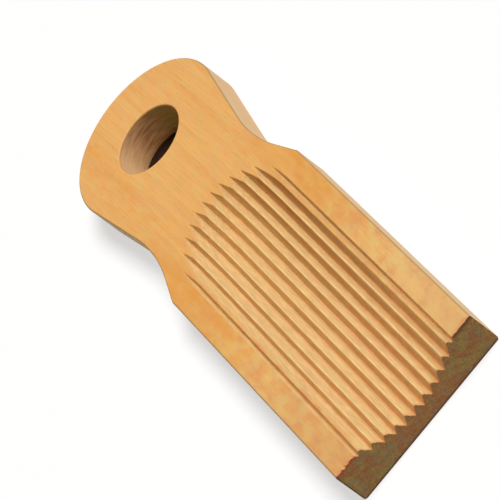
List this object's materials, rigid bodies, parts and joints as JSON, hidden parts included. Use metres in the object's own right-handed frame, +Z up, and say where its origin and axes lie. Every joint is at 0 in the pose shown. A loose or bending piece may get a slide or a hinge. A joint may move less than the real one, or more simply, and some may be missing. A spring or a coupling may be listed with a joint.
{
  "type": "gnocchi board",
  "caption": "Wooden paddle with a ridged trough for rolling gnocchi, a waisted handle with a round head and a hole to hang it by.",
  "frame": {"origin": "middle of the flat back, on the surface that the board lies on", "axes": "+X across the board, +Y from the ridged end to the tip of the round head, +Z up out of the ridged face"},
  "size_m": [0.059, 0.221, 0.013],
  "materials": {
    "beech": "planed and sanded beech, unvarnished, matt"
  },
  "bodies": {
    "root": {"board": "beech"}
  },
  "joints": []
}
